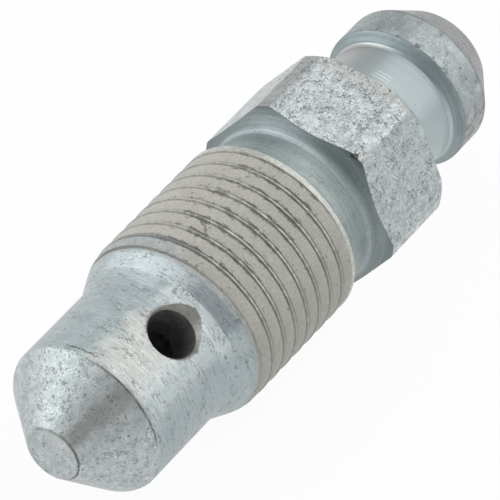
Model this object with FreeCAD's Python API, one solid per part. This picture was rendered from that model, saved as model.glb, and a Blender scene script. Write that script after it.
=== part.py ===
# Bleed valve: a hollow screw with a sealing cone, a fine M10 x 1 thread, a hexagon and a hose nipple.
# It is one piece, turned from drawn hexagon bar, drilled, threaded and zinc plated.
# The axis lies along X, the cone points to -X and one hexagon flat faces down, as the screw lies.
# The origin is on the axis, near the middle of the thread. Clock angles turn about +X from straight down.

import FreeCAD, Part
import math
import os

os.makedirs("parts", exist_ok=True)

# Thread M10 x 1, right hand. Its length runs from the first crest to the chamfer at the neck.
thread_radius = 5.00
pitch = 1.00
thread_start_x = -4.40
thread_length = 7.95
thread_end_chamfer = 0.45
flank_half_angle = 30.0
groove_depth = 0.54
groove_root_width = 0.25
groove_run_in = 0.18
groove_run_out = 0.15
first_groove_offset = 0.324
groove_overshoot = 0.06
band_margin = 0.30

# Flare, plain shank and sealing cone, in front of the thread
flare_length = 1.95
flare_hollow_radius = 2.4
flare_crown_radius = 2.4
shank_radius = 4.17
shank_length = 5.40
cone_half_angle = 45.0
cone_edge_rounding = 0.45
nose_flat_radius = 1.42
nose_edge_rounding = 0.25

# Relief neck behind the thread, which meets the hexagon in a hollow fillet
neck_below_root = 0.06
neck_length = 2.80
neck_fillet_radius = 1.20

# Hexagon
across_flats = 9.75
hexagon_length = 4.70
hexagon_front_dish = 0.20
hexagon_corner_cut = 0.20
hexagon_chamfer_depth = 0.28
hexagon_chamfer_half_angle = 40.0
hexagon_chamfer_rounding = 0.8

# Hose nipple
nipple_neck_radius = 3.45
nipple_neck_length = 3.70
nipple_shoulder_radius = 3.80
nipple_shoulder_length = 0.35
barb_radius = 4.00
barb_length = 1.80
barb_taper_rounding = 0.50
nipple_taper_length = 2.00
nipple_end_radius = 2.75
nipple_end_chamfer = 0.15

# Bores
outlet_bore_radius = 1.60
outlet_mouth_chamfer = 0.20
drill_point_half_angle = 59.0
cross_hole_to_thread = 3.18
cross_hole_radius = 1.25
cross_hole_clock = 204.5
cross_hole_mouth_width = 0.25
cross_hole_mouth_half_angle = 36.0

# How far a cutting shape reaches past what it cuts
overlap = 0.5

# Places along the axis and radii that follow from the sizes
thread_root_radius = thread_radius - groove_depth
neck_radius = thread_root_radius - neck_below_root
sharp_corner_radius = across_flats / math.sqrt(3)
hexagon_corner_radius = sharp_corner_radius - hexagon_corner_cut
thread_end_x = thread_start_x + thread_length
hexagon_front_x = thread_end_x + neck_length
hexagon_rear_x = hexagon_front_x + hexagon_length
nipple_shoulder_x = hexagon_rear_x + nipple_neck_length
barb_front_x = nipple_shoulder_x + nipple_shoulder_length
barb_rear_x = barb_front_x + barb_length
nipple_end_x = barb_rear_x + nipple_taper_length
flare_start_x = thread_start_x - flare_length
cone_base_x = flare_start_x - shank_length
cone_length = (shank_radius - nose_flat_radius) / math.tan(math.radians(cone_half_angle))
nose_x = cone_base_x - cone_length
cross_hole_x = thread_start_x - cross_hole_to_thread

axis_start = FreeCAD.Vector(0, 0, 0)
axis_direction = FreeCAD.Vector(1, 0, 0)


def turned(corners):
    """A solid of revolution. Each corner of the outline is (x, radius, rounding)."""
    points = [FreeCAD.Vector(x, 0, radius) for x, radius, rounding in corners]
    edges = []
    last = points[0]
    for index in range(1, len(points) - 1):
        corner = points[index]
        rounding = corners[index][2]
        if rounding == 0:
            edges.append(Part.makeLine(last, corner))
            last = corner
            continue
        back = (points[index - 1] - corner).normalize()
        onward = (points[index + 1] - corner).normalize()
        half_angle = back.getAngle(onward) / 2
        setback = rounding / math.tan(half_angle)
        reach = rounding / math.sin(half_angle) - rounding
        arc_start = corner + back * setback
        arc_middle = corner + (back + onward).normalize() * reach
        arc_end = corner + onward * setback
        edges.append(Part.makeLine(last, arc_start))
        edges.append(Part.Arc(arc_start, arc_middle, arc_end).toShape())
        last = arc_end
    edges.append(Part.makeLine(last, points[-1]))
    edges.append(Part.makeLine(points[-1], points[0]))
    face = Part.Face(Part.Wire(edges))
    return face.revolve(axis_start, axis_direction, 360)


def turn_to_clock(shape, clock):
    """Turn a shape that was made pointing straight down to its clock angle."""
    shape.rotate(axis_start, axis_direction, clock)
    return shape


def turned_blank():
    """The whole screw as turned, before the thread and the flats are cut: the hexagon is still round."""
    chamfer_length = hexagon_chamfer_depth / math.tan(math.radians(hexagon_chamfer_half_angle))
    return turned([
        (nose_x, 0, 0),
        (nose_x, nose_flat_radius, nose_edge_rounding),
        (cone_base_x, shank_radius, cone_edge_rounding),
        (flare_start_x, shank_radius, flare_hollow_radius),
        (thread_start_x, thread_radius, flare_crown_radius),
        (thread_end_x, thread_radius, 0),
        (thread_end_x + thread_end_chamfer, neck_radius, 0),
        (hexagon_front_x - hexagon_front_dish, neck_radius, neck_fillet_radius),
        (hexagon_front_x, hexagon_corner_radius, 0),
        (hexagon_rear_x - chamfer_length, hexagon_corner_radius, hexagon_chamfer_rounding),
        (hexagon_rear_x, hexagon_corner_radius - hexagon_chamfer_depth, 0),
        (hexagon_rear_x, nipple_neck_radius, 0),
        (nipple_shoulder_x, nipple_neck_radius, 0),
        (nipple_shoulder_x, nipple_shoulder_radius, 0),
        (barb_front_x, nipple_shoulder_radius, 0),
        (barb_front_x, barb_radius, 0),
        (barb_rear_x, barb_radius, barb_taper_rounding),
        (nipple_end_x - nipple_end_chamfer, nipple_end_radius, 0),
        (nipple_end_x, nipple_end_radius - nipple_end_chamfer, 0),
        (nipple_end_x, 0, 0),
    ])


def hexagon_waste():
    """What is left of a thick ring round the hexagon once the hexagonal bar is taken out of it."""
    front_x = hexagon_front_x - neck_fillet_radius - hexagon_front_dish
    length = hexagon_rear_x - front_x + overlap
    corners = []
    for index in range(6):
        angle = math.radians(60 * index)
        corners.append(FreeCAD.Vector(
            front_x - overlap,
            sharp_corner_radius * math.cos(angle),
            sharp_corner_radius * math.sin(angle),
        ))
    outline = Part.makePolygon(corners + corners[:1])
    bar = Part.Face(outline).extrude(axis_direction * (length + 2 * overlap))
    ring_radius = sharp_corner_radius + overlap
    ring = Part.makeCylinder(ring_radius, length, axis_direction * front_x, axis_direction)
    return ring.cut(bar)


def outlet_bore():
    """The blind bore, drilled from the nipple end to just past the cross hole."""
    bore_bottom_x = cross_hole_x - cross_hole_radius
    point_length = outlet_bore_radius / math.tan(math.radians(drill_point_half_angle))
    return turned([
        (bore_bottom_x - point_length, 0, 0),
        (bore_bottom_x, outlet_bore_radius, 0),
        (nipple_end_x - outlet_mouth_chamfer, outlet_bore_radius, 0),
        (nipple_end_x + overlap, outlet_bore_radius + outlet_mouth_chamfer + overlap, 0),
        (nipple_end_x + overlap, 0, 0),
    ])


def cross_hole():
    """The hole in the side of the shank, with its deburred mouth. It ends in the outlet bore."""
    down = FreeCAD.Vector(0, 0, -1)
    foot = FreeCAD.Vector(cross_hole_x, 0, 0)
    hole = Part.makeCylinder(cross_hole_radius, shank_radius + overlap, foot, down)
    spread = math.tan(math.radians(cross_hole_mouth_half_angle))
    mouth_depth = cross_hole_mouth_width / spread
    mouth_foot = foot + down * (shank_radius - mouth_depth)
    outer_radius = cross_hole_radius + cross_hole_mouth_width + overlap * spread
    mouth = Part.makeCone(cross_hole_radius, outer_radius, mouth_depth + overlap, mouth_foot, down)
    return turn_to_clock(hole.fuse(mouth), cross_hole_clock)


def groove_band():
    """The ring of space that holds the groove. Its ends slope up to the crests at 45 degrees."""
    inner_radius = thread_root_radius - band_margin
    outer_radius = thread_radius + band_margin
    inward = thread_radius - inner_radius
    front_x = thread_start_x - groove_run_in
    rear_x = thread_end_x - groove_run_out
    return turned([
        (front_x + inward, 0, 0),
        (front_x + inward, inner_radius, 0),
        (front_x - band_margin, outer_radius, 0),
        (rear_x + band_margin, outer_radius, 0),
        (rear_x - inward, inner_radius, 0),
        (rear_x - inward, 0, 0),
    ])


def thread_groove():
    """The helical groove as a solid, from its root to a little above the crests."""
    turns = math.ceil(thread_length / pitch) + 2
    helix = Part.Wire(Part.makeHelix(pitch, turns * pitch, thread_root_radius).Edges)
    outer_radius = thread_radius + groove_overshoot
    root_half_width = groove_root_width / 2
    spread = (outer_radius - thread_root_radius) * math.tan(math.radians(flank_half_angle))
    outline = Part.makePolygon([
        FreeCAD.Vector(thread_root_radius, 0, -root_half_width),
        FreeCAD.Vector(outer_radius, 0, -root_half_width - spread),
        FreeCAD.Vector(outer_radius, 0, root_half_width + spread),
        FreeCAD.Vector(thread_root_radius, 0, root_half_width),
        FreeCAD.Vector(thread_root_radius, 0, -root_half_width),
    ])
    groove = helix.makePipeShell([outline], True, True)
    groove.rotate(FreeCAD.Vector(0, 0, 0), FreeCAD.Vector(0, 1, 0), 90)
    groove.translate(axis_direction * (thread_start_x - first_groove_offset - pitch))
    return groove.common(groove_band())


def bleed_screw():
    """The whole screw in one piece: turned, threaded, milled to a hexagon and drilled."""
    threaded = turned_blank().cut(thread_groove())
    return threaded.cut([hexagon_waste(), outlet_bore(), cross_hole()])


screw = bleed_screw()
screw.exportStep("parts/bleed_screw.step")
print("bleed_screw", screw.ShapeType, len(screw.Solids), screw.isValid(), round(screw.Volume, 2))
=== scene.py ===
import bmesh
import bpy
import math
import numpy as np
from functools import partial, reduce
from mathutils import Euler, Matrix, Quaternion, Vector


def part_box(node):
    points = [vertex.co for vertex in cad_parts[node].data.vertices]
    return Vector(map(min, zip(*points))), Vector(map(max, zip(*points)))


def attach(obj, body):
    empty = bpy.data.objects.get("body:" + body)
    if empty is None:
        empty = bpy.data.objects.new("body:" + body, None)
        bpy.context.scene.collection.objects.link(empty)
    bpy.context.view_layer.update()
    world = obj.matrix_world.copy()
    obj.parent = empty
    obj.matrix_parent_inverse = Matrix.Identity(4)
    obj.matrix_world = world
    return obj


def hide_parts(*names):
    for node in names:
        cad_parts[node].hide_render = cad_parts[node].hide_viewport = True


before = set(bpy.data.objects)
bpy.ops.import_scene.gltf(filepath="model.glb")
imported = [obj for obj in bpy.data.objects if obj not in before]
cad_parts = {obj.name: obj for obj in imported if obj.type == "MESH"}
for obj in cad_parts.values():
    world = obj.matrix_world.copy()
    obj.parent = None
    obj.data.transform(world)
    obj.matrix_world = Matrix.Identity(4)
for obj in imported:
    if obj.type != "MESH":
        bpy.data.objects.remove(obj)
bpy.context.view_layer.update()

# The bar. The whole screw is turned from one drawn hexagon bar of steel, so its outline is one profile.
# The lathe leaves cone, shank, flare, thread blank, neck and nipple; only the hexagon keeps the bar's flats.
# Lengths are in millimetres, x runs along the axis, and a clock angle turns about +x from straight down.
mm = 0.001
low_corner, high_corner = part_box("bleed_screw")
nose_x = low_corner.x / mm
nipple_end_x = high_corner.x / mm
thread_radius = -low_corner.z / mm
hexagon_corner_radius = high_corner.y / mm

nose_flat_radius = 1.42
nose_edge_rounding = 0.25
cone_base_x = -11.75
shank_radius = 4.17
cone_edge_rounding = 0.45
flare_start_x = -6.35
flare_hollow_radius = 2.4
flare_crown_radius = 2.4
thread_start_x = -4.40
thread_end_x = 3.55
thread_end_chamfer = 0.45
neck_radius = 4.40
neck_fillet_radius = 1.20
across_flats = 9.75
hexagon_front_x = 6.35
hexagon_rear_x = 11.05
hexagon_front_dish = 0.20
neck_plain_end_x = hexagon_front_x - neck_fillet_radius
hexagon_chamfer_depth = 0.28
hexagon_chamfer_half_angle = 40.0
hexagon_chamfer_rounding = 0.8
hexagon_edge_rounding = 0.04
nipple_neck_radius = 3.45
nipple_fillet_radius = 0.40
barb_front_x = 15.10
barb_radius = 4.00
barb_edge_rounding = 0.08
barb_rear_x = 16.90
barb_taper_rounding = 0.50
nipple_end_radius = 2.75
nipple_end_chamfer = 0.15
nipple_end_rounding = 0.10
mouth_edge_rounding = 0.05
outlet_bore_radius = 1.60
outlet_mouth_chamfer = 0.20
cross_hole_x = -7.58
cross_hole_radius = 1.25
drill_point_half_angle = 59.0


def rounded_outline(corners, arc_steps=7):
    """The points of an outline. Each corner is (x, radius, rounding, length of a step up to it)."""
    points = [np.array(corners[0][:2])]
    for index in range(1, len(corners)):
        corner = np.array(corners[index][:2])
        rounding, step = corners[index][2:]
        arc = [corner]
        if rounding > 0:
            before = np.array(corners[index - 1][:2]) - corner
            after = np.array(corners[index + 1][:2]) - corner
            before /= np.linalg.norm(before)
            after /= np.linalg.norm(after)
            half_angle = math.acos(np.clip(before @ after, -1, 1)) / 2
            bisector = (before + after) / np.linalg.norm(before + after)
            centre = corner + bisector * rounding / math.sin(half_angle)
            first = corner + before * rounding / math.tan(half_angle) - centre
            last = corner + after * rounding / math.tan(half_angle) - centre
            sweep = math.pi - 2 * half_angle
            arc = []
            for share in np.linspace(0, 1, arc_steps + 1):
                weights = math.sin((1 - share) * sweep), math.sin(share * sweep)
                arc.append(centre + (first * weights[0] + last * weights[1]) / math.sin(sweep))
        steps = max(1, math.ceil(np.linalg.norm(arc[0] - points[-1]) / step))
        start = points[-1]
        for share in np.arange(1, steps + 1) / steps:
            points.append(start + (arc[0] - start) * share)
        points.extend(arc[1:])
    return np.array(points)


def part_of_path(path, end_radius, count):
    """Evenly spaced points on a path whose radius runs one way, up to the place with that radius."""
    lengths = np.concatenate([[0], np.cumsum(np.linalg.norm(np.diff(path, axis=0), axis=1))])
    order = np.argsort(path[:, 1])
    end = np.interp(end_radius, path[order, 1], lengths[order])
    places = end * np.linspace(0, 1, count + 1)[1:]
    return np.stack([np.interp(places, lengths, path[:, 0]), np.interp(places, lengths, path[:, 1])], axis=1)


def hexagon_side_radius(clock):
    """How far the bar's side is from the axis: on a flat, or on the turned corner between two flats."""
    from_flat = (clock + 30) % 60 - 30
    flat = across_flats / 2 / math.cos(math.radians(from_flat))
    near_edge = max(hexagon_edge_rounding - abs(flat - hexagon_corner_radius), 0)
    return min(flat, hexagon_corner_radius) - near_edge ** 2 / (4 * hexagon_edge_rounding)


fine_step = 0.10
shank_step = 0.12
coarse_step = 0.22
bore_step = 2.0
front_face_steps = 16
flat_steps = 26
chamfer_steps = 6
rear_face_steps = 5
step_x = barb_front_x - barb_radius + nipple_neck_radius
chamfer_length = hexagon_chamfer_depth / math.tan(math.radians(hexagon_chamfer_half_angle))
before_hexagon = rounded_outline([
    (nose_x, 0, 0, 0),
    (nose_x, nose_flat_radius, nose_edge_rounding, coarse_step),
    (cone_base_x, shank_radius, cone_edge_rounding, fine_step),
    (flare_start_x, shank_radius, flare_hollow_radius, shank_step),
    (thread_start_x, thread_radius, flare_crown_radius, fine_step),
    (thread_end_x, thread_radius, 0, thread_end_x - thread_start_x),
    (thread_end_x + thread_end_chamfer, neck_radius, 0, coarse_step),
    (neck_plain_end_x, neck_radius, 0, coarse_step),
])
front_face = rounded_outline([
    (neck_plain_end_x, neck_radius, 0, 0),
    (hexagon_front_x - hexagon_front_dish, neck_radius, neck_fillet_radius, coarse_step),
    (hexagon_front_x, hexagon_corner_radius, 0, coarse_step),
], arc_steps=24)
rear_chamfer = rounded_outline([
    (hexagon_rear_x - 2 * chamfer_length, hexagon_corner_radius, 0, 0),
    (hexagon_rear_x - chamfer_length, hexagon_corner_radius, hexagon_chamfer_rounding, coarse_step),
    (hexagon_rear_x, hexagon_corner_radius - hexagon_chamfer_depth, 0, coarse_step),
], arc_steps=10)
smallest_fall = 1e-6
rear_chamfer = rear_chamfer[np.argmax(rear_chamfer[:, 1] < hexagon_corner_radius - smallest_fall) - 1:]
bore_bottom_x = cross_hole_x - cross_hole_radius
drill_point_x = bore_bottom_x - outlet_bore_radius / math.tan(math.radians(drill_point_half_angle))
after_hexagon = rounded_outline([
    (hexagon_rear_x, nipple_neck_radius, 0, 0),
    (step_x, nipple_neck_radius, nipple_fillet_radius, coarse_step),
    (barb_front_x, barb_radius, barb_edge_rounding, coarse_step),
    (barb_rear_x, barb_radius, barb_taper_rounding, coarse_step),
    (nipple_end_x - nipple_end_chamfer, nipple_end_radius, nipple_end_rounding, coarse_step),
    (nipple_end_x, nipple_end_radius - nipple_end_chamfer, mouth_edge_rounding, coarse_step),
    (nipple_end_x, outlet_bore_radius + outlet_mouth_chamfer, 0, coarse_step),
    (nipple_end_x - outlet_mouth_chamfer, outlet_bore_radius, 0, coarse_step),
    (bore_bottom_x, outlet_bore_radius, 0, bore_step),
    (drill_point_x, 0, 0, bore_step / 4),
], arc_steps=4)


def screw_section(clock):
    """The screw's outline at one clock angle, from the nose to the bottom of the bore."""
    side = hexagon_side_radius(clock)
    front = part_of_path(front_face, side, front_face_steps)
    side_end_x = np.interp(-side, -rear_chamfer[:, 1], rear_chamfer[:, 0])
    shares = np.linspace(0, 1, flat_steps + 1)[1:, None]
    flat = front[-1] + (np.array([side_end_x, side]) - front[-1]) * shares
    falling = part_of_path(rear_chamfer[::-1], max(side, rear_chamfer[-1, 1]), chamfer_steps)[::-1]
    chamfer = np.concatenate([falling[1:], rear_chamfer[-1:]])
    chamfer[:, 1] = np.minimum(chamfer[:, 1], side)
    shares = np.linspace(0, 1, rear_face_steps + 1)[1:, None]
    rear = chamfer[-1] + (after_hexagon[0] - chamfer[-1]) * shares
    return np.concatenate([before_hexagon, front, flat, chamfer, rear, after_hexagon[1:]])


def turned_mesh(name, section, clocks):
    """Sweeps a section round the axis. The section starts and ends on the axis."""
    rings = np.stack([section(clock) for clock in clocks])
    count = rings.shape[1]
    across = np.radians(clocks)[:, None]
    radius = rings[:, :, 1]
    places = np.stack([rings[:, :, 0], radius * np.sin(across), -radius * np.cos(across)], axis=2)
    faces = []
    for column in range(len(clocks)):
        here = column * count
        beside = (column + 1) % len(clocks) * count
        for row in range(count - 1):
            faces.append((here + row, beside + row, beside + row + 1, here + row + 1))
    mesh = bpy.data.meshes.new(name)
    mesh.from_pydata((places.reshape(-1, 3) * mm).tolist(), [], faces)
    mesh.update()
    return mesh


weld_distance = 1e-7


def cleaned(mesh):
    """Welds doubled points and leaves faces that point outwards."""
    shape = bmesh.new()
    shape.from_mesh(mesh)
    bmesh.ops.remove_doubles(shape, verts=shape.verts, dist=weld_distance)
    bmesh.ops.recalc_face_normals(shape, faces=shape.faces)
    shape.to_mesh(mesh)
    shape.free()
    return mesh


def placed(name, mesh):
    """An object at the origin that shows a mesh."""
    piece = bpy.data.objects.new(name, mesh)
    bpy.context.scene.collection.objects.link(piece)
    return piece


# The clock angles of the mesh columns lie close together at the edges between flats and turned corners
corner_start = math.degrees(math.acos(across_flats / 2 / hexagon_corner_radius))
edge_columns = np.arange(-3, 4) * 0.3
beside_edge = 1.8
flat_columns = 34
corner_columns = 4
sector = np.concatenate([
    edge_columns - corner_start,
    np.linspace(beside_edge - corner_start, corner_start - beside_edge, flat_columns),
    edge_columns + corner_start,
    np.linspace(corner_start + beside_edge, 60 - corner_start - beside_edge, corner_columns),
])
clocks = np.concatenate([sector + 60 * side for side in range(6)])
screw = placed("screw", cleaned(turned_mesh("screw", screw_section, clocks)))

# The thread, M10 x 1, right hand. It is a helical groove with 60 degree flanks, cut into the turned blank.
# The tool slopes in at the flare and out before the chamfer, so the first and the last crest are wider.
pitch = 1.00
groove_depth = 0.54
groove_root_radius = thread_radius - groove_depth
groove_root_width = 0.25
flank_half_angle = 30.0
groove_overshoot = 0.06
first_groove_offset = 0.324
groove_start_x = thread_start_x - first_groove_offset - pitch
groove_run_in = 0.18
groove_run_out = 0.15
run_in_x = thread_start_x - groove_run_in
run_out_x = thread_end_x - groove_run_out


def set_inputs(node, inputs):
    """Sets inputs of a node to values or links them to sockets. An input is named, or given by its place."""
    for key, value in inputs.items():
        if isinstance(value, bpy.types.NodeSocket):
            node.id_data.links.new(value, node.inputs[key])
        else:
            node.inputs[key].default_value = value


def add_node(kind, inputs=None, tree=None, **settings):
    """A new node with its settings and inputs made, in the tree of the sockets that it is linked to."""
    inputs = inputs or {}
    sockets = [value for value in inputs.values() if isinstance(value, bpy.types.NodeSocket)]
    node = (tree or sockets[0].id_data).nodes.new(kind)
    for name, value in settings.items():
        setattr(node, name, value)
    set_inputs(node, inputs)
    return node


def calculate(operation, first, second=0.0, third=0.0):
    """One sum on numbers, for a shader or a geometry tree. One of them at least is a socket."""
    return add_node("ShaderNodeMath", {0: first, 1: second, 2: third}, operation=operation).outputs[0]


def on_vectors(operation, first, second=(0, 0, 0), third=(0, 0, 0)):
    """One sum on vectors, whose result is a number for a length, a distance or a dot product."""
    node = add_node("ShaderNodeVectorMath", {0: first, 1: second, 2: third}, operation=operation)
    gives_number = operation in ("LENGTH", "DISTANCE", "DOT_PRODUCT")
    return node.outputs["Value" if gives_number else "Vector"]


def from_axis(parts):
    """How far a place is from the screw's axis."""
    across = add_node("ShaderNodeCombineXYZ", {"Y": parts["Y"], "Z": parts["Z"]}).outputs[0]
    return on_vectors("LENGTH", across)


def groove_sweep(name, edge_rounding=0.0):
    """A geometry tree that sweeps a trapezoid along the thread's helix, with its sizes as named inputs."""
    tree = bpy.data.node_groups.new(name, "GeometryNodeTree")
    sizes = ("Pitch", "Turns", "Start", "Root Radius", "Top Radius", "Root Width", "Top Width",
             "Crest Radius", "Run In", "Run Out", "Crown Start", "Crown Radius", "Skin Depth", "End Fade",
             "Unevenness")
    for size in sizes:
        tree.interface.new_socket(size, in_out="INPUT", socket_type="NodeSocketFloat")
    tree.interface.new_socket("Steps per Turn", in_out="INPUT", socket_type="NodeSocketInt")
    tree.interface.new_socket("Finish", in_out="INPUT", socket_type="NodeSocketMaterial")
    tree.interface.new_socket("Geometry", in_out="OUTPUT", socket_type="NodeSocketGeometry")
    given = add_node("NodeGroupInput", tree=tree).outputs

    depth = calculate("SUBTRACT", given["Top Radius"], given["Root Radius"])
    middle = calculate("MULTIPLY_ADD", depth, 0.5, given["Root Radius"])
    helix = add_node("GeometryNodeCurveSpiral", {
        "Resolution": given["Steps per Turn"], "Rotations": given["Turns"],
        "Start Radius": middle, "End Radius": middle,
        "Height": calculate("MULTIPLY", given["Pitch"], given["Turns"]), "Reverse": True,
    })
    along = add_node("GeometryNodeSplineParameter", tree=tree)
    marked = add_node("GeometryNodeCaptureAttribute", {0: helix.outputs[0]})
    marked.capture_items.new("FLOAT", "Along")
    tree.links.new(along.outputs["Factor"], marked.inputs[1])
    upright = add_node("GeometryNodeSetCurveNormal", {0: marked.outputs[0]}, mode="Z_UP")
    trapezoid = add_node("GeometryNodeCurvePrimitiveQuadrilateral", {
        "Height": depth, "Bottom Width": given["Root Width"], "Top Width": given["Top Width"], "Offset": 0.0,
    }, mode="TRAPEZOID")
    section = trapezoid.outputs[0]
    if edge_rounding > 0:
        section = add_node("GeometryNodeFilletCurve", {
            "Curve": section, "Radius": edge_rounding, "Limit Radius": True, "Count": 3,
        }, mode="POLY").outputs[0]
        section = add_node("GeometryNodeSubdivideCurve", {"Curve": section, "Cuts": 2}).outputs[0]
    on_its_side = Euler((0, 0, math.radians(-90)))
    turned_section = add_node("GeometryNodeTransform", {"Geometry": section, "Rotation": on_its_side})
    swept = add_node("GeometryNodeCurveToMesh", {
        "Curve": upright.outputs[0], "Profile Curve": turned_section.outputs[0], "Fill Caps": True,
    })
    along_axis = add_node("GeometryNodeTransform", {
        "Geometry": swept.outputs[0], "Rotation": Euler((0, math.radians(90), 0)),
        "Translation": add_node("ShaderNodeCombineXYZ", {"X": given["Start"]}).outputs[0],
    })

    place = add_node("GeometryNodeInputPosition", tree=tree).outputs[0]
    parts = add_node("ShaderNodeSeparateXYZ", {0: place}).outputs
    radius = from_axis(parts)
    before = calculate("SUBTRACT", given["Run In"], parts["X"])
    behind = calculate("SUBTRACT", parts["X"], given["Run Out"])
    outside = calculate("MAXIMUM", before, behind)
    slope = calculate("ADD", given["Crest Radius"], outside)
    clear_of_crest = calculate("ADD", given["Crest Radius"], groove_overshoot / 2)
    ramped = calculate("MAXIMUM", radius, calculate("MINIMUM", slope, clear_of_crest))

    from_end = calculate("PINGPONG", marked.outputs["Along"], 0.5)
    turns_from_end = calculate("MULTIPLY", from_end, given["Turns"])
    body = calculate("DIVIDE", turns_from_end, given["End Fade"])
    body = add_node("ShaderNodeClamp", {0: body}).outputs[0]
    height = calculate("SUBTRACT", ramped, given["Root Radius"])
    ripple = add_node("ShaderNodeTexNoise", {"Vector": place, "Scale": 1.3, "Detail": 4.0}).outputs[0]
    ripple = calculate("SUBTRACT", ripple, 0.5)
    ripple = calculate("MULTIPLY", ripple, given["Unevenness"])
    height = calculate("MULTIPLY", calculate("ADD", height, ripple), body)
    final = calculate("ADD", given["Root Radius"], height)
    past_crown = calculate("MAXIMUM", calculate("SUBTRACT", given["Crown Start"], parts["X"]), 0.0)
    bow = calculate("SUBTRACT", calculate("POWER", given["Crown Radius"], 2.0),
                    calculate("POWER", past_crown, 2.0))
    bow = calculate("SQRT", calculate("MAXIMUM", bow, 0.0))
    skin = calculate("SUBTRACT", calculate("SUBTRACT", given["Crest Radius"], given["Crown Radius"]),
                     given["Skin Depth"])
    final = calculate("MINIMUM", final, calculate("ADD", bow, skin))
    scale = calculate("DIVIDE", final, radius)
    scale_all = add_node("ShaderNodeCombineXYZ", {"X": 1.0, "Y": scale, "Z": scale}).outputs[0]
    moved = on_vectors("MULTIPLY", place, scale_all)
    shaped = add_node("GeometryNodeSetPosition", {"Geometry": along_axis.outputs[0], "Position": moved})
    real_size = add_node("GeometryNodeTransform", {"Geometry": shaped.outputs[0], "Scale": (mm, mm, mm)})
    real = add_node("GeometryNodeRealizeInstances", {0: real_size.outputs[0]})
    finished = add_node("GeometryNodeSetMaterial", {0: real.outputs[0], "Material": given["Finish"]})
    add_node("NodeGroupOutput", {"Geometry": finished.outputs[0]})
    return tree


def baked(name, tree, sizes):
    """Runs a geometry tree with its sizes and keeps the result as a plain mesh."""
    piece = placed(name, bpy.data.meshes.new(name))
    modifier = piece.modifiers.new(name, "NODES")
    modifier.node_group = tree
    for socket in tree.interface.items_tree:
        if socket.in_out == "INPUT" and socket.name in sizes:
            modifier[socket.identifier] = sizes[socket.name]
    bpy.context.view_layer.update()
    finished = piece.evaluated_get(bpy.context.evaluated_depsgraph_get())
    mesh = bpy.data.meshes.new_from_object(finished)
    piece.modifiers.clear()
    piece.data = cleaned(mesh)
    return piece


def cut_away(piece, tool):
    """Takes the tool's shape out of a piece, and the tool is gone afterwards."""
    modifier = piece.modifiers.new("Cut", "BOOLEAN")
    modifier.operation = "DIFFERENCE"
    modifier.solver = "MANIFOLD"
    modifier.object = tool
    finished = piece.evaluated_get(bpy.context.evaluated_depsgraph_get())
    mesh = bpy.data.meshes.new_from_object(finished)
    piece.modifiers.clear()
    piece.data = mesh
    bpy.data.objects.remove(tool)


flare_slope = math.atan2(thread_radius - shank_radius, thread_start_x - flare_start_x)
groove_top_radius = thread_radius + groove_overshoot
groove_spread = 2 * math.tan(math.radians(flank_half_angle))
clear_of_crown = -1.0
groove_sizes = {
    "Pitch": pitch, "Turns": math.ceil((thread_end_x - thread_start_x) / pitch) + 2.0, "Steps per Turn": 144,
    "Start": groove_start_x, "Root Radius": groove_root_radius, "Top Radius": groove_top_radius,
    "Root Width": groove_root_width,
    "Top Width": groove_root_width + (groove_top_radius - groove_root_radius) * groove_spread,
    "Crest Radius": thread_radius, "Run In": run_in_x, "Run Out": run_out_x,
    "Crown Start": thread_start_x + flare_crown_radius * math.tan(flare_slope / 2),
    "Crown Radius": flare_crown_radius, "Skin Depth": clear_of_crown,
    "End Fade": 0.001, "Unevenness": 0.0,
}
cut_away(screw, baked("thread_tool", groove_sweep("Thread groove"), groove_sizes))

# The cross hole, drilled through the shank's wall into the outlet bore, with a deburred mouth.
# Its walls and the bore are bare dark steel, because the plating doesn't reach in.
cross_hole_clock = 204.5
cross_hole_mouth_width = 0.25
cross_hole_mouth_half_angle = 36.0
drill_columns = 96
overlap = 0.5
mouth_spread = math.tan(math.radians(cross_hole_mouth_half_angle))
mouth_start = shank_radius - cross_hole_mouth_width / mouth_spread
mouth_end = shank_radius + overlap


def drill_section(clock):
    """The drill's outline along its own axis, with the deburring cone round it."""
    outer_radius = cross_hole_radius + (mouth_end - mouth_start) * mouth_spread
    return np.array([(0, 0), (0, cross_hole_radius), (mouth_start, cross_hole_radius),
                     (mouth_end, outer_radius), (mouth_end, 0)], float)


drill_clocks = np.linspace(0, 360, drill_columns, endpoint=False)
drill = placed("cross_drill", cleaned(turned_mesh("cross_drill", drill_section, drill_clocks)))
hole_clock = math.radians(cross_hole_clock)
hole_direction = Vector((0, math.sin(hole_clock), -math.cos(hole_clock)))
hole_foot = Vector((cross_hole_x * mm, 0, 0))
hole_turn = hole_direction.to_track_quat("X", "Z").to_matrix().to_4x4()
drill.data.transform(Matrix.Translation(hole_foot) @ hole_turn)
cut_away(screw, drill)

# Wear. The screws are barrel plated and packed loose, so they knock against each other.
# A dent is pressed in along the radius and is (x, clock angle, half width, depth). The last two are hidden.
dents = [
    (-11.52, 235.0, 0.30, 0.07),
    (-8.05, 225.5, 0.16, 0.04),
    (-5.56, 194.6, 0.18, 0.03),
    (6.36, 208.2, 0.30, 0.10),
    (15.16, 172.0, 0.20, 0.05),
    (15.18, 187.7, 0.28, 0.06),
    (16.57, 167.4, 0.20, 0.04),
    (10.95, 271.0, 0.30, 0.06),
    (-13.60, 165.0, 0.22, 0.03),
    (-12.40, 245.0, 0.20, 0.03),
    (7.60, 329.0, 0.40, 0.06),
    (-9.80, 95.0, 0.30, 0.03),
]
vertex_count = len(screw.data.vertices)
places = np.empty(vertex_count * 3)
screw.data.vertices.foreach_get("co", places)
places = places.reshape(-1, 3) / mm
radii = np.hypot(places[:, 1], places[:, 2])
bore_wall = 0.4
outer = radii > outlet_bore_radius + bore_wall
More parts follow.
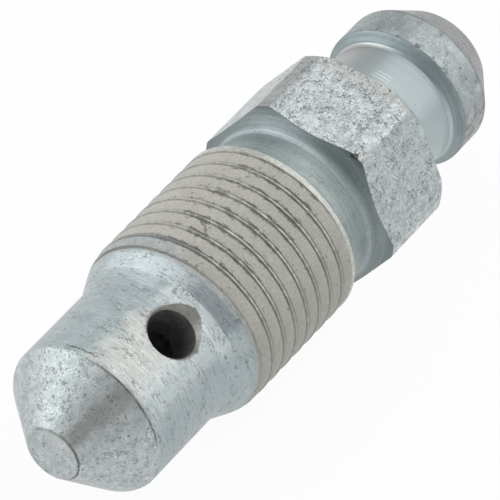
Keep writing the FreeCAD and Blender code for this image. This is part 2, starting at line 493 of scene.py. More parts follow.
for dent_x, dent_clock, dent_width, dent_depth in dents:
    angle = math.radians(dent_clock)
    along_side = places[:, 1] * math.sin(angle) - places[:, 2] * math.cos(angle)
    sideways = np.hypot(places[:, 1], places[:, 2]) ** 2 - along_side ** 2
    distance = np.sqrt((places[:, 0] - dent_x) ** 2 + np.maximum(sideways, 0))
    pressed = outer & (along_side > 0) & (distance < dent_width)
    depth = dent_depth * (0.5 + 0.5 * np.cos(math.pi * distance / dent_width)) ** 2
    places[:, 1:] *= np.where(pressed, 1 - depth / np.maximum(radii, bore_wall), 1)[:, None]
screw.data.vertices.foreach_set("co", (places * mm).ravel())
screw.data.shade_smooth()
sharpest_smooth_angle = 28
screw.data.set_sharp_from_angle(angle=math.radians(sharpest_smooth_angle))


# The finish. Bright zinc plating, passivated faintly blue, lies over turned faces, thread and bar alike.
# It keeps the tool lines of the turned faces and the scale of the drawn bar, and picks up dirt in pits.
# The limits of a stain are (low, high, softness), in millimetres for x and radius and in degrees for clock.
def new_finish(name):
    """A material, its tree and its shader."""
    finish = bpy.data.materials.new(name)
    finish.use_nodes = True
    return finish, finish.node_tree, finish.node_tree.nodes["Principled BSDF"]


def spot_on_screw(tree):
    """Where a shading point lies: its place in millimetres, x, the clock angle in degrees and the radius."""
    place = add_node("ShaderNodeTexCoord", tree=tree).outputs["Object"]
    place = on_vectors("MULTIPLY", place, (1 / mm, 1 / mm, 1 / mm))
    parts = add_node("ShaderNodeSeparateXYZ", {0: place}).outputs
    down = calculate("MULTIPLY", parts["Z"], -1)
    turn = calculate("DIVIDE", calculate("ARCTAN2", parts["Y"], down), 2 * math.pi)
    turn = calculate("FRACT", calculate("ADD", turn, 1))
    clock = calculate("MULTIPLY", turn, 360)
    return {"place": place, "x": parts["X"], "clock": clock, "radius": from_axis(parts)}


def stretched(place, x_scale, side_scale):
    """The place with its axial and its sideways lengths scaled, for streaks along or round the screw."""
    return on_vectors("MULTIPLY", place, (x_scale, side_scale, side_scale))


def noise(place, scale, detail=3, roughness=0.55):
    """A soft random pattern between 0 and 1."""
    return add_node("ShaderNodeTexNoise", {
        "Vector": place, "Scale": scale, "Detail": detail, "Roughness": roughness,
    }).outputs[0]


def limited(value, low, high, from_value=0, to_value=1):
    """A soft step: from_value below low, to_value above high."""
    return add_node("ShaderNodeMapRange", {
        "Value": value, "From Min": low, "From Max": high, "To Min": from_value, "To Max": to_value,
    }, interpolation_type="SMOOTHSTEP").outputs[0]


def times(*shares):
    """Shares multiplied with each other."""
    return reduce(partial(calculate, "MULTIPLY"), shares)


def either(*shares):
    """The greatest of some shares."""
    return reduce(partial(calculate, "MAXIMUM"), shares)


def between(value, low, high, softness):
    """1 from low to high, and a soft fall to 0 outside."""
    above = limited(value, low - softness, low)
    return times(above, limited(value, high, high + softness, 1, 0))


def patch(spot, share=1, **limits):
    """A share inside the limits of x, clock or radius, and a soft fall to 0 outside."""
    return times(*[between(spot[name], *limit) for name, limit in limits.items()], share)


def ragged(value, place, scale, reach):
    """A value that wanders up and down by up to half the reach, so that an edge drawn from it is uneven."""
    wander = calculate("SUBTRACT", noise(place, scale, 4, 0.6), 0.5)
    return calculate("MULTIPLY_ADD", wander, reach, value)


def uneven(spot, **wanders):
    """The spot with its x, clock or radius made ragged. Each wander is (scale, reach)."""
    return spot | {name: ragged(spot[name], spot["place"], *wander) for name, wander in wanders.items()}


def mixed(share, first, second):
    """Two colours, mixed by a share."""
    return add_node("ShaderNodeMix", {"Factor": share, "A": first, "B": second},
                    data_type="RGBA").outputs["Result"]


def stained(colour, *shares, tint):
    """A colour that turns to the tint where all the shares are high."""
    return mixed(times(*shares), colour, tint)


def bent(place, scale, reach):
    """The place shifted about at random, which makes round shapes drawn from it uneven."""
    bends = add_node("ShaderNodeTexNoise", {"Vector": place, "Scale": scale, "Detail": 2}).outputs["Color"]
    bends = on_vectors("SUBTRACT", bends, (0.5, 0.5, 0.5))
    return on_vectors("MULTIPLY_ADD", bends, (reach, reach, reach), place)


def pits(place, scale, size):
    """Small uneven pits, most of them far smaller than the size: 1 inside a pit and 0 outside."""
    rarity = 2.5
    cells = add_node("ShaderNodeTexVoronoi", {
        "Vector": bent(place, scale * 2, 1.1 / scale), "Scale": scale,
    }).outputs
    chance = add_node("ShaderNodeSeparateColor", {0: cells["Color"]}).outputs[0]
    pit_size = calculate("MULTIPLY", calculate("POWER", chance, rarity), size)
    return limited(calculate("SUBTRACT", pit_size, cells["Distance"]), 0, 0.08)


def hairlines(place, scale, width):
    """Short thin curly lines in patches: 1 on a line and 0 beside it."""
    field = noise(bent(place, scale, 0.4 / scale), scale, 2, 0.6)
    off = calculate("ABSOLUTE", calculate("SUBTRACT", field, 0.5))
    patches = limited(noise(place, scale * 0.45), 0.46, 0.62)
    return times(limited(off, width * 0.3, width, 1, 0), patches)


def blot(spot, x, clock, radius, size):
    """1 in an uneven blot round a place on the screw, 0 further off. Lengths are in millimetres."""
    angle = math.radians(clock)
    middle = (x, radius * math.sin(angle), -radius * math.cos(angle))
    off = ragged(on_vectors("DISTANCE", spot["place"], middle), spot["place"], 1.2 / size, size * 1.6)
    return limited(off, size * 0.5, size, 1, 0)


def from_groove_middle(spot):
    """How many pitches a place is from the groove's middle, and its x with the helix unrolled.

    The first is 0 in the middle of the groove and 0.5 on the middle of a crest."""
    turn_x = calculate("MULTIPLY", spot["clock"], pitch / 360)
    unrolled_x = calculate("SUBTRACT", spot["x"], turn_x)
    whole_turns = 20
    phase = calculate("SUBTRACT", calculate("DIVIDE", unrolled_x, pitch),
                      groove_start_x / pitch - whole_turns - 0.5)
    off = calculate("ABSOLUTE", calculate("SUBTRACT", calculate("FRACT", phase), 0.5))
    return off, unrolled_x


def from_cross_hole(place):
    """How far a place is from the cross hole's own axis."""
    from_foot = on_vectors("SUBTRACT", place, hole_foot / mm)
    return on_vectors("LENGTH", on_vectors("CROSS_PRODUCT", from_foot, hole_direction))


dirt_colour = (0.10, 0.098, 0.086, 1)
notch_colour = (0.07, 0.06, 0.05, 1)


def zinc(name, pale, deep, clouds=(1.4, 0.4), strokes=(14, 0.5, 0.4), grain=(9, 0.35),
         marks=(4, 0.34, 0.5, 0.3), mark_stretch=(1, 1), roughness=(0.36, 0.48),
         relief_depth=0.005, stains_and_painted_light=None):
    """Zinc plating. clouds and grain are (scale, share), strokes is (along, round, share).

    marks is (scale, size of the pits, share of the pits, share of the hairlines)."""
    finish, tree, shader = new_finish(name)
    spot = spot_on_screw(tree)
    place = spot["place"]
    cloud_scale, cloud_share = clouds
    stroke_along, stroke_round, stroke_share = strokes
    grain_scale, grain_share = grain
    mark_scale, pit_size, pit_share, line_share = marks

    cloud = noise(place, cloud_scale, 5, 0.6)
    colour = mixed(limited(cloud, 0.5 - cloud_share / 2, 0.5 + cloud_share / 2), deep, pale)
    stroke = noise(stretched(place, stroke_along, stroke_round), 1, 3, 0.7)
    stroke = limited(stroke, 0.40, 0.60)
    colour = stained(colour, stroke, stroke_share, tint=deep)
    fine = noise(place, grain_scale, 3, 0.7)
    colour = stained(colour, limited(fine, 0.42, 0.64, 0, grain_share), tint=deep)
    # The stains also hold painted light: painted highlights, a painted dark reflection and painted shade on
    # cone, shank and neck.
    if stains_and_painted_light:
        colour = stains_and_painted_light(spot, colour)
    mark_place = stretched(place, *mark_stretch)
    pit = either(*[pits(mark_place, mark_scale * size, pit_size) for size in (1, 1.9)])
    line = hairlines(mark_place, mark_scale * 0.8, 0.03)
    mark = either(times(pit, pit_share), times(line, line_share))
    colour = stained(colour, mark, tint=dirt_colour)

    uneven_cloud = calculate("MULTIPLY_ADD", stroke, stroke_share, cloud)
    height = calculate("MULTIPLY_ADD", stroke, stroke_share, times(fine, 1.6))
    height = calculate("MULTIPLY_ADD", mark, -1.5, height)
    set_inputs(shader, {
        "Metallic": 1, "Base Color": colour,
        "Roughness": either(limited(uneven_cloud, 0.3, 1, *roughness), times(mark, 0.65)),
        "Normal": add_node("ShaderNodeBump", {"Height": height, "Distance": relief_depth * mm}).outputs[0],
    })
    return finish


def cone_stains_and_painted_reflection(spot, colour):
    """A painted dark reflection down the cone, the dark edge at its base and the rim of dirt round the nose.
    """
    cone = uneven(spot, clock=(1.6, 26), x=(3.5, 0.16), radius=(4, 0.14))
    behind_nose = limited(spot["x"], nose_x + 0.05, nose_x + 0.30)
    # Painted dark reflection: a dark grey streak from behind the nose down the cone, at clock 206 to 212.
    painted_dark_reflection = patch(cone, 0.55, clock=(206, 212, 12))
    colour = stained(colour, painted_dark_reflection, behind_nose, tint=(0.20, 0.19, 0.175, 1))
    colour = stained(colour, patch(cone, 0.3, clock=(188, 218, 14)), tint=(0.60, 0.58, 0.56, 1))
    base_edge = patch(cone, x=(cone_base_x - 0.08, cone_base_x - 0.04, 0.045), clock=(180, 250, 16))
    broken = limited(noise(spot["place"], 1.8, 4), 0.35, 0.6, 0.25, 0.75)
    colour = stained(colour, base_edge, broken, tint=(0.12, 0.11, 0.09, 1))
    nose_rim = patch(cone, radius=(nose_flat_radius + 0.02, nose_flat_radius + 0.06, 0.06),
                     clock=(140, 300, 25))
    darker_low = limited(spot["clock"], 190, 235, 0.5, 0.9)
    colour = stained(colour, nose_rim, darker_low, tint=(0.15, 0.145, 0.115, 1))
    return stained(colour, blot(spot, -11.62, 235, 4.1, 0.26), tint=dirt_colour)


def shank_stains_and_painted_light(spot, colour):
    """Warm and bluish tones round the shank, painted highlights low on the shank and high on the flare, a
    painted dark reflection on the flare, dirt at thread and cross hole.
    """
    shank = uneven(spot, clock=(1.2, 14))
    flare = uneven(shank, x=(1.6, 0.10))
    warm = patch(shank, 0.5, clock=(180, 212, 14), x=(-11.4, -8.2, 0.8))
    colour = stained(colour, warm, tint=(0.70, 0.69, 0.635, 1))
    bluish = limited(patch(shank, clock=(180, 213, 12)), 0, 1, 0.5, 0)
    colour = stained(colour, bluish, tint=(0.45, 0.51, 0.52, 1))
    hollow = patch(flare, 0.8, clock=(186, 236, 10), x=(-6.25, -5.68, 0.15))
    colour = stained(colour, hollow, tint=(0.70, 0.735, 0.74, 1))
    # Painted shade: a dark reflection painted on the flare, at clock 199 to 226.
    painted_shade = times(limited(flare["x"], -5.66, -5.60), limited(flare["x"], -4.95, -4.75, 1, 0))
    colour = stained(colour, painted_shade, patch(flare, 0.75, clock=(199, 226, 8)), tint=(0.29, 0.32, 0.34, 1))
    chatter = patch(uneven(shank, x=(4, 0.35)), 0.7, x=(-11.50, -11.44, 0.05), clock=(160, 176, 4))
    colour = stained(colour, chatter, tint=dirt_colour)
    colour = stained(colour, limited(flare["x"], -4.90, -4.70), 0.55, tint=(0.40, 0.385, 0.35, 1))
    # Painted highlight: a light band low along the shank, at clock 216 to 233.
    painted_low_highlight = patch(shank, 0.4, clock=(216, 233, 8), x=(-11.4, -6.3, 0.4))
    colour = stained(colour, painted_low_highlight, tint=(0.76, 0.795, 0.80, 1))
    # Painted highlight high on the flare, at clock 138 to 178.
    painted_high_highlight = patch(flare, 0.35, clock=(138, 178, 14), x=(-5.65, -5.05, 0.2))
    colour = stained(colour, painted_high_highlight, tint=(0.82, 0.86, 0.88, 1))
    underside = patch(shank, 0.45, clock=(252, 300, 16))
    colour = stained(colour, underside, tint=(0.36, 0.42, 0.44, 1))
    thread_line = limited(from_groove_middle(spot)[1], groove_start_x + 0.54 * pitch,
                          groove_start_x + 0.57 * pitch, 0, 0.6)
    colour = stained(colour, thread_line, tint=dirt_colour)

    burr_width = 0.14
    from_edge = ragged(from_cross_hole(spot["place"]), spot["place"], 3, 0.06)
    from_edge = calculate("SUBTRACT", from_edge, cross_hole_radius)
    burr = limited(from_edge, burr_width - 0.03, burr_width, 1, 0)
    colour = stained(colour, burr, 0.75, tint=(0.40, 0.39, 0.355, 1))
    outline = between(from_edge, burr_width, burr_width + 0.02, 0.03)
    colour = stained(colour, outline, 0.55, tint=(0.14, 0.135, 0.12, 1))
    smears = either(blot(spot, -7.35, 224, shank_radius, 0.20), blot(spot, -5.95, 187, 4.30, 0.16))
    return stained(colour, smears, 0.5, tint=dirt_colour)


def neck_painted_light_and_nick(spot, colour):
    """Painted light and shade round the neck from the thread to the hexagon: plain, painted shade, a painted
    highlight streak, painted shade in the fillet, then a nick.
    """
    neck = spot | {"x": ragged(spot["x"], stretched(spot["place"], 2, 0.4), 1, 0.16)}
    # Painted shade: a dark band round the neck from x 4.5 to 5.25.
    colour = stained(colour, limited(neck["x"], 4.5, 5.25), 0.35, tint=(0.22, 0.27, 0.285, 1))
    # Painted highlight: a light streak on the fillet, fainter towards clock 204.
    fading = limited(spot["clock"], 186, 204, 0.75, 0.2)
    colour = stained(colour, patch(neck, x=(5.52, 5.66, 0.10)), fading, tint=(0.52, 0.56, 0.58, 1))
    # Painted shade in the fillet next to the hexagon's front face.
    colour = stained(colour, limited(neck["x"], 5.74, 5.92), 0.65, tint=(0.20, 0.23, 0.235, 1))
    return stained(colour, blot(spot, 6.34, 208.2, 5.35, 0.24), 0.8, tint=notch_colour)


def flakes(place, scale):
    """The scale of the drawn bar: flakes with a random tone each, and how near the flake's edge is."""
    wavy = bent(place, scale * 1.5, 1 / scale)
    cells = add_node("ShaderNodeTexVoronoi", {"Vector": wavy, "Scale": scale}).outputs
    tone = add_node("ShaderNodeSeparateColor", {0: cells["Color"]}).outputs[0]
    rims = add_node("ShaderNodeTexVoronoi", {"Vector": wavy, "Scale": scale}, feature="DISTANCE_TO_EDGE")
    return tone, limited(rims.outputs["Distance"], 0.02, 0.10, 1, 0)


def hexagon_stains(spot, colour):
    """Flakes on the bar's flats, rough at the corners, warm near the rear edge and calm on the near flat."""
    place = spot["place"]
    large_share = 0.45
    large_tone, large_rim = flakes(place, 4.6)
    small_tone, small_rim = flakes(place, 9.5)
    tone = calculate("MULTIPLY_ADD", large_tone, large_share, times(small_tone, 1 - large_share))
    side = uneven(spot, clock=(2, 5), x=(1.5, 0.5))
    calm = patch(side, clock=(213.5, 267, 2))
    rough_colour = mixed(limited(tone, 0.25, 0.75), (0.54, 0.56, 0.565, 1), (0.80, 0.83, 0.84, 1))
    colour = stained(colour, limited(calm, 0, 1, 0.75, 0.30), tint=rough_colour)
    rims = either(large_rim, times(small_rim, 0.6))
    dirty = limited(noise(place, 1.7), 0.40, 0.62)
    colour = stained(colour, rims, dirty, limited(calm, 0, 1, 0.5, 0.3), tint=(0.16, 0.155, 0.15, 1))
    warm = patch(side, 0.4, clock=(150, 205, 10))
    colour = stained(colour, warm, limited(side["x"], 10, 10.8), tint=(0.48, 0.45, 0.38, 1))
    far_corner = patch(side, 0.55, clock=(145, 153.5, 3))
    colour = stained(colour, far_corner, tint=(0.36, 0.345, 0.335, 1))
    seams = either(patch(side, clock=(201.5, 202.5, 1)), patch(side, clock=(212.5, 213.5, 0.8)))
    colour = stained(colour, seams, 0.32, tint=(0.22, 0.21, 0.20, 1))
    return stained(colour, blot(spot, 6.36, 208.2, 5.35, 0.24), 0.8, tint=notch_colour)


def nipple_stains(spot, colour):
    """Soft cream and blue tones, three short bright scratches and a thin dark line before the step."""
    nipple = uneven(spot, clock=(0.5, 16))
    colour = stained(colour, patch(nipple, 0.6, clock=(80, 150, 30)), tint=(0.50, 0.49, 0.47, 1))
    colour = stained(colour, patch(nipple, 0.5, clock=(250, 300, 45)), tint=(0.44, 0.52, 0.53, 1))
    scratch_ends = [(12.60, 12.62), (12.80, 12.83), (13.02, 13.04)]
    scratches = either(*[between(spot["x"], *ends, 0.02) for ends in scratch_ends])
    scratched = patch(nipple, 0.45, clock=(174, 188, 3))
    colour = stained(colour, scratches, scratched, tint=(0.85, 0.87, 0.87, 1))
    edge_line = patch(spot, 0.55, x=(14.40, 14.42, 0.025))
    return stained(colour, edge_line, tint=(0.20, 0.23, 0.235, 1))


def barb_stains(spot, colour):
    """Dirt at the barb's edges, a nick in its front edge, brown rub marks low down and a darker grey taper.
    """
    barb = uneven(spot, x=(2, 0.10), clock=(1, 20))
    front_edge = limited(barb["x"], barb_front_x, barb_front_x + 0.06, 1, 0)
    edges = either(front_edge, patch(barb, x=(barb_rear_x - 0.06, barb_rear_x, 0.05)))
    colour = stained(colour, edges, 0.45, tint=dirt_colour)
    taper = limited(barb["x"], barb_rear_x - 0.04, barb_rear_x + 0.05)
    colour = stained(colour, taper, 0.80, tint=(0.305, 0.305, 0.30, 1))
    rubbed = limited(noise(spot["place"], 1.8, 4), 0.46, 0.6)
    colour = stained(colour, patch(barb, 0.6, clock=(262, 300, 18)), rubbed, tint=(0.19, 0.165, 0.13, 1))
    nicks = either(blot(spot, 15.18, 187.7, 4, 0.20), blot(spot, 15.14, 172, 4, 0.12))
    return stained(colour, nicks, 0.7, tint=dirt_colour)


cone_zinc = zinc("cone_zinc", (0.68, 0.715, 0.725, 1), (0.39, 0.43, 0.435, 1), clouds=(2.2, 0.55),
                 strokes=(6, 1.4, 0.25), grain=(11, 0.55), marks=(4.2, 0.42, 0.5, 0.55),
                 roughness=(0.40, 0.54), relief_depth=0.014, stains_and_painted_light=cone_stains_and_painted_reflection)
shank_zinc = zinc("shank_zinc", (0.70, 0.73, 0.735, 1), (0.39, 0.43, 0.445, 1), clouds=(1.2, 0.5),
                  strokes=(16, 0.9, 0.65), grain=(11, 0.4), marks=(3.4, 0.36, 0.50, 0.6),
                  mark_stretch=(1.8, 0.65), roughness=(0.34, 0.48), relief_depth=0.011, stains_and_painted_light=shank_stains_and_painted_light)
neck_zinc = zinc("neck_zinc", (0.415, 0.455, 0.45, 1), (0.295, 0.34, 0.338, 1), clouds=(0.8, 0.5),
                 strokes=(13, 0.25, 0.6), grain=(11, 0.5), marks=(3.6, 0.30, 0.45, 0.3),
                 roughness=(0.40, 0.52), relief_depth=0.006, stains_and_painted_light=neck_painted_light_and_nick)
hexagon_zinc = zinc("hexagon_zinc", (0.66, 0.70, 0.71, 1), (0.36, 0.40, 0.41, 1), clouds=(3, 0.4),
                    strokes=(1.5, 6, 0.4), grain=(9, 0.7), marks=(5, 0.45, 0.55, 0.8),
                    roughness=(0.38, 0.54), relief_depth=0.022, stains_and_painted_light=hexagon_stains)
nipple_zinc = zinc("nipple_zinc", (0.425, 0.46, 0.47, 1), (0.37, 0.41, 0.425, 1), clouds=(0.45, 0.4),
                   strokes=(9, 0.2, 0.25), grain=(9, 0.2), marks=(2.4, 0.2, 0.35, 0),
                   roughness=(0.36, 0.46), relief_depth=0.002, stains_and_painted_light=nipple_stains)
step_zinc = zinc("step_zinc", (0.38, 0.44, 0.45, 1), (0.30, 0.35, 0.36, 1), clouds=(0.8, 0.4),
                 strokes=(9, 0.3, 0.5), marks=(3, 0.25, 0.3, 0), roughness=(0.55, 0.68), relief_depth=0.004)
barb_zinc = zinc("barb_zinc", (0.51, 0.54, 0.545, 1), (0.32, 0.35, 0.36, 1), clouds=(1.5, 0.4),
                 strokes=(3, 1.6, 0.4), grain=(9, 0.6), marks=(3.6, 0.40, 0.5, 0.5),
                 roughness=(0.38, 0.50), relief_depth=0.012, stains_and_painted_light=barb_stains)
mouth_zinc = zinc("mouth_zinc", (0.52, 0.51, 0.47, 1), (0.36, 0.35, 0.325, 1), clouds=(3, 0.5),
                  strokes=(2, 2, 0.4), marks=(5, 0.4, 0.6, 0.3), roughness=(0.50, 0.64))


def bare_steel(name, dark, light):
    """Drilled steel without plating, matt and a little stained."""
    finish, tree, shader = new_finish(name)
    tone = noise(spot_on_screw(tree)["place"], 2.5, 5, 0.6)
    set_inputs(shader, {
        "Base Color": mixed(limited(tone, 0.35, 0.65), dark, light),
        "Roughness": limited(tone, 0.3, 0.7, 0.5, 0.7),
    })
    return finish


oily_steel = bare_steel("oily_steel", (0.11, 0.11, 0.105, 1), (0.18, 0.18, 0.173, 1))
bore_steel = bare_steel("bore_steel", (0.42, 0.42, 0.41, 1), (0.60, 0.60, 0.58, 1))

# The crests. They carry the same plating, polished by handling, between two grimy edges.
# Smears of the sealing coat lie on them at the top and underneath, and the ring behind the last is clean.
coat_colour = (0.495, 0.475, 0.428, 1)
smudge_colour = (0.155, 0.142, 0.122, 1)


def smudges(spot):
    """How grimy the thread's edges are, between 0 and 1: more towards the top, and in uneven lengths."""
    lengthwise = stretched(bent(spot["place"], 3, 0.10), 1.4, 0.7)
    grime = noise(lengthwise, 2.8, 6, 0.70)
    return calculate("ADD", grime, patch(spot, 0.14, clock=(168, 206, 26)))


def polished_crests(name):
    """Crest plating: bright in the middle, grimy at its edges, coated at the top and with painted shade
    underneath.
    """
    finish, tree, shader = new_finish(name)
    spot = spot_on_screw(tree)
    place = spot["place"]
    crest = uneven(spot, clock=(1.5, 30))
    from_middle, unrolled_x = from_groove_middle(spot)
    before_end_ring = limited(spot["x"], 3.2, 3.3, 1, 0)
    tone = noise(place, 4, 4, 0.65)
    colour = mixed(limited(tone, 0.35, 0.65), (0.47, 0.47, 0.44, 1), (0.66, 0.66, 0.62, 1))
    covered = either(limited(crest["clock"], 160, 182, 1, 0), limited(crest["clock"], 330, 345))
    covered = times(covered, before_end_ring)
    colour = stained(colour, covered, tint=coat_colour)
    # Painted shade: the crests darker on their lower side, at clock 244 to 330.
    painted_shade = patch(crest, 0.55, clock=(244, 330, 10))
    colour = stained(colour, painted_shade, before_end_ring, tint=(0.27, 0.26, 0.23, 1))
    worn = limited(noise(place, 2.8, 5, 0.75), 0.46, 0.56)
    unworn = times(calculate("SUBTRACT", 1, worn), limited(spot["x"], 3.15, 3.3, 0.6, 0))
    colour = stained(colour, unworn, tint=(0.30, 0.29, 0.26, 1))
    edges = limited(from_middle, 0.463, 0.483, 1, 0)
    facing = limited(patch(crest, clock=(186, 236, 14)), 0, 1, 0.25, 0.55)
    grime = either(limited(smudges(spot), 0.61, 0.70, 0, 0.8), times(edges, facing))
    grime = times(grime, limited(spot["x"], 3.15, 3.3, 1, 0.10))
    colour = stained(colour, grime, tint=smudge_colour)
    first_crest_x = groove_start_x + 1.5 * pitch
    first_crest = between(unrolled_x, first_crest_x - 0.3, first_crest_x + 0.3, 0.1)
    colour = stained(colour, first_crest, patch(crest, 0.75, clock=(132, 186, 12)),
                     tint=(0.17, 0.18, 0.185, 1))
    relief = add_node("ShaderNodeBump", {"Height": tone, "Strength": 0.5, "Distance": 0.02 * mm})
    set_inputs(shader, {
        "Base Color": colour, "Metallic": calculate("SUBTRACT", 1, either(covered, grime)),
        "Roughness": limited(tone, 0.3, 0.7, 0.38, 0.55), "Normal": relief.outputs[0],
    })
    return finish


# The finishes in the order in which they lie along the screw, and then those of mouth, cross hole and bore
finishes = [cone_zinc, shank_zinc, polished_crests("crest_zinc"), neck_zinc, hexagon_zinc, nipple_zinc,
            step_zinc, barb_zinc, mouth_zinc, oily_steel, bore_steel]
near = 0.01
screw.data.materials.clear()
for finish in finishes:
    screw.data.materials.append(finish)
face_count = len(screw.data.polygons)
middles = np.empty(face_count * 3)
screw.data.polygons.foreach_get("center", middles)
middles = middles.reshape(-1, 3) / mm
facings = np.empty(face_count * 3)
screw.data.polygons.foreach_get("normal", facings)
middle_x = middles[:, 0]
middle_radii = np.hypot(middles[:, 1], middles[:, 2])
ends = np.array([cone_base_x, run_in_x - 2 * near, thread_end_x + 2 * near, hexagon_front_x - near,
                 hexagon_rear_x + near, step_x + nipple_fillet_radius * 0.35, barb_front_x - near,
                 nipple_end_x + overlap])
chosen = np.searchsorted(ends, middle_x)
near_front = (middle_x > neck_plain_end_x) & (middle_x < hexagon_front_x + 0.1)
on_side = near_front & (middle_radii > across_flats / 2 - 0.05) & (facings[::3] > -0.4)
chosen[near_front] = finishes.index(neck_zinc)
chosen[on_side] = finishes.index(hexagon_zinc)
along_hole = middles[:, 1] * hole_direction.y + middles[:, 2] * hole_direction.z
beside_hole = np.sqrt(np.maximum(middle_radii ** 2 - along_hole ** 2, 0))
from_hole_axis = np.hypot(middle_x - cross_hole_x, beside_hole)
mouth_radius = cross_hole_radius + (along_hole - mouth_start) * mouth_spread
in_mouth = (along_hole > mouth_start - 0.05) & (np.abs(from_hole_axis - mouth_radius) < 2 * near)
in_drilling = (along_hole > 0) & (along_hole < mouth_start) & (from_hole_axis < cross_hole_radius + near)
in_bore = (middle_radii < outlet_bore_radius + near) & (middle_x > drill_point_x - 0.1)
in_bore &= middle_x < nipple_end_x - 0.05
chosen[in_mouth] = finishes.index(mouth_zinc)
chosen[in_drilling] = finishes.index(oily_steel)
chosen[in_bore] = finishes.index(bore_steel)
screw.data.polygons.foreach_set("material_index", chosen.astype(np.int32))
screw.data.update()
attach(screw, "root")
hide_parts("bleed_screw")

# The sealing coat, brushed wet into the thread and dried there. It fills the groove level with the crests.
# It shrank a little from the flanks as it dried, its edges are rubbed dark, and it starts as a thin film.
coat_below_crests = 0.03
coat_top_radius = thread_radius - coat_below_crests
coat_gap = 0.007
coat_start_clock = 20.0
coat_turns = 7.95
coat_start_x = groove_start_x + pitch * (1 + coat_start_clock / 360)


def sealing_coat(name):
    """The dried coat: matt, warm grey, with fine grit, dark specks, a crack and rubbed edges."""
    finish, tree, shader = new_finish(name)
    spot = spot_on_screw(tree)
    place = spot["place"]
    from_middle, unrolled_x = from_groove_middle(spot)
    clouds = noise(place, 1.2, 5, 0.6)
    grit = noise(place, 8, 3, 0.75)
    colour = mixed(limited(clouds, 0.35, 0.65), (0.445, 0.428, 0.384, 1), coat_colour)
    colour = stained(colour, limited(grit, 0.42, 0.66, 0, 0.75), tint=(0.355, 0.338, 0.308, 1))
    shaded = patch(spot, 0.3, clock=(262, 315, 40))
    colour = stained(colour, shaded, tint=(0.30, 0.292, 0.262, 1))
    first_crest_x = groove_start_x + 1.5 * pitch
    first_turn = limited(unrolled_x, first_crest_x - 0.01, first_crest_x + 0.01, 1, 0)
    film_end = limited(uneven(spot, clock=(1.2, 20))["clock"], 168, 186, 1, 0)
    film = limited(noise(place, 2.5, 4), 0.4, 0.62)
    film_colour = mixed(film, (0.34, 0.355, 0.36, 1), (0.44, 0.46, 0.47, 1))
    colour = stained(colour, first_turn, film_end, 0.8, tint=film_colour)
    rubbed = calculate("SUBTRACT", smudges(spot), 0.56)
    rubbed = calculate("MULTIPLY_ADD", rubbed, 1.3, from_middle)
    colour = stained(colour, limited(rubbed, 0.39, 0.50, 0, 0.85), tint=smudge_colour)
    crack_start_clock, crack_start_x, crack_slope = 171, -1.92, -0.065
    crack_x = calculate("SUBTRACT", spot["clock"], crack_start_clock)
    crack_x = calculate("MULTIPLY_ADD", crack_x, crack_slope, crack_start_x)
    from_crack = calculate("SUBTRACT", ragged(spot["x"], place, 3.5, 0.40), crack_x)
    crack = times(between(from_crack, -0.05, 0.05, 0.05), patch(spot, clock=(169.5, 178.5, 0.5)))
    specks = either(times(pits(place, 3.4, 0.36), 0.6), times(crack, 0.7))
    colour = stained(colour, specks, tint=smudge_colour)
    height = calculate("MULTIPLY_ADD", grit, 0.5, clouds)
    height = calculate("MULTIPLY_ADD", specks, -0.6, height)
    relief = add_node("ShaderNodeBump", {"Height": height, "Strength": 0.6, "Distance": 0.03 * mm})
    set_inputs(shader, {
        "Base Color": colour, "Roughness": 0.62, "Specular IOR Level": 0.35, "Normal": relief.outputs[0],
    })
    return finish


# The coat has the groove's shape, a little narrower, and keeps its full height as far as the thread's ends
end_overlap = 10
coat_sizes = groove_sizes | {
    "Turns": coat_turns, "Start": coat_start_x, "Root Radius": groove_root_radius + 0.01,
    "Top Radius": coat_top_radius, "Root Width": groove_root_width - coat_gap,
    "Top Width": groove_root_width + (coat_top_radius - groove_root_radius) * groove_spread - coat_gap * 2,
    "Run In": run_in_x - end_overlap, "Run Out": run_out_x + end_overlap, "Skin Depth": coat_below_crests,
    "End Fade": 0.02, "Unevenness": 0.03, "Finish": sealing_coat("sealing_coat"), "Steps per Turn": 216,
}
coat = baked("thread_sealant", groove_sweep("Coat in the groove", edge_rounding=0.05), coat_sizes)
coat.data.transform(Matrix.Rotation(math.radians(coat_start_clock), 4, "X"))
coat.data.shade_smooth()
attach(coat, "root")

# The studio. The screw lies on a white table under one broad softbox, with a smaller one behind it.
# The room is plain grey, and darker on the side where the photographer stands.
table_half_width = 2.0
table_gap = 0.00002
table_z = low_corner.z - table_gap
table_white_share = 0.94
table_mesh = bpy.data.meshes.new("table")
table_corners = [(-1, -1), (1, -1), (1, 1), (-1, 1)]
table_mesh.from_pydata([(x * table_half_width, y * table_half_width, table_z) for x, y in table_corners],
                       [], [(0, 1, 2, 3)])
table = placed("table", table_mesh)
white, tree, shader = new_finish("table_white")
set_inputs(shader, {"Base Color": (0.90, 0.90, 0.90, 1), "Roughness": 0.9, "Specular IOR Level": 0})
rays = add_node("ShaderNodeLightPath", tree=tree).outputs
shown = either(rays["Is Camera Ray"], rays["Is Glossy Ray"], rays["Is Transmission Ray"])
glow = add_node("ShaderNodeEmission", {"Color": (1, 1, 1, 1), "Strength": 1}, tree=tree)
both = add_node("ShaderNodeMixShader", {
    0: times(shown, table_white_share), 1: shader.outputs[0], 2: glow.outputs[0],
})
set_inputs(tree.nodes["Material Output"], {"Surface": both.outputs[0]})
table_mesh.materials.append(white)


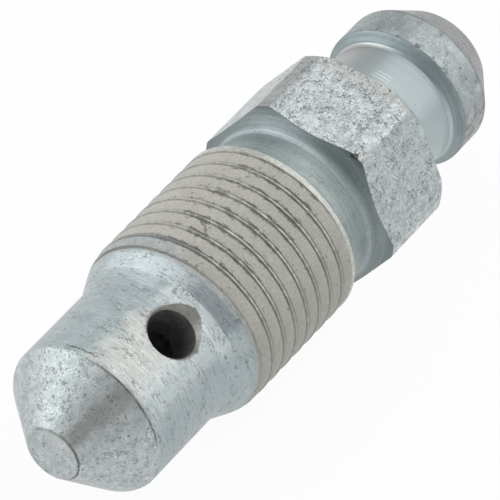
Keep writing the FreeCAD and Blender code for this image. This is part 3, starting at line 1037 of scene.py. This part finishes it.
def softbox(name, direction, distance, width, radiance, colour=(1, 1, 1)):
    """A square lamp that faces the screw from a direction."""
    lamp = bpy.data.lights.new(name, "AREA")
    lamp.shape = "SQUARE"
    lamp.size = width
    lamp.energy = radiance * math.pi * width ** 2
    lamp.color = colour
    holder = bpy.data.objects.new(name, lamp)
    bpy.context.scene.collection.objects.link(holder)
    holder.location = Vector(direction).normalized() * distance
    holder.rotation_euler = Vector(direction).to_track_quat("Z", "Y").to_euler()
    holder.visible_camera = False


softbox("broad_softbox", (0.62, -0.25, 0.74), 0.50, 0.80, 0.70, (1.0, 0.985, 0.955))
softbox("back_softbox", (-0.45, 0.78, 0.44), 0.50, 0.46, 1.50)

room = bpy.data.worlds.new("room")
room.use_nodes = True
tree = room.node_tree
direction = add_node("ShaderNodeTexCoord", tree=tree).outputs["Generated"]
photographer = Vector((-0.607, -0.310, 0.731))
darker = limited(on_vectors("DOT_PRODUCT", direction, photographer), 0.74, 0.96)
room_colour = mixed(darker, (0.68, 0.72, 0.735, 1), (0.27, 0.285, 0.29, 1))
set_inputs(tree.nodes["Background"], {"Color": room_colour, "Strength": 1})
bpy.context.scene.world = room

# The camera looks down on the screw from its nose side, from far off, as a long lens does.
# The screw's middle lies right of its axis origin, and the camera is turned a little about its own view.
camera_elevation = math.radians(46.99)
camera_azimuth = math.radians(-152.93)
camera_roll = math.radians(9.05)
camera_distance = 0.2918
aim = Vector((2.056 * mm, 0, 0))
back = Vector((math.cos(camera_elevation) * math.cos(camera_azimuth),
               math.cos(camera_elevation) * math.sin(camera_azimuth), math.sin(camera_elevation)))
lens = bpy.data.cameras.new("camera")
lens.lens = 439.5
lens.sensor_width = 36.0
lens.clip_start = 0.01
camera = bpy.data.objects.new("camera", lens)
bpy.context.scene.collection.objects.link(camera)
camera.location = aim + back * camera_distance
camera.rotation_euler = (back.to_track_quat("Z", "Y") @ Quaternion((0, 0, 1), camera_roll)).to_euler()
bpy.context.scene.camera = camera
bpy.context.scene.view_settings.view_transform = "Standard"
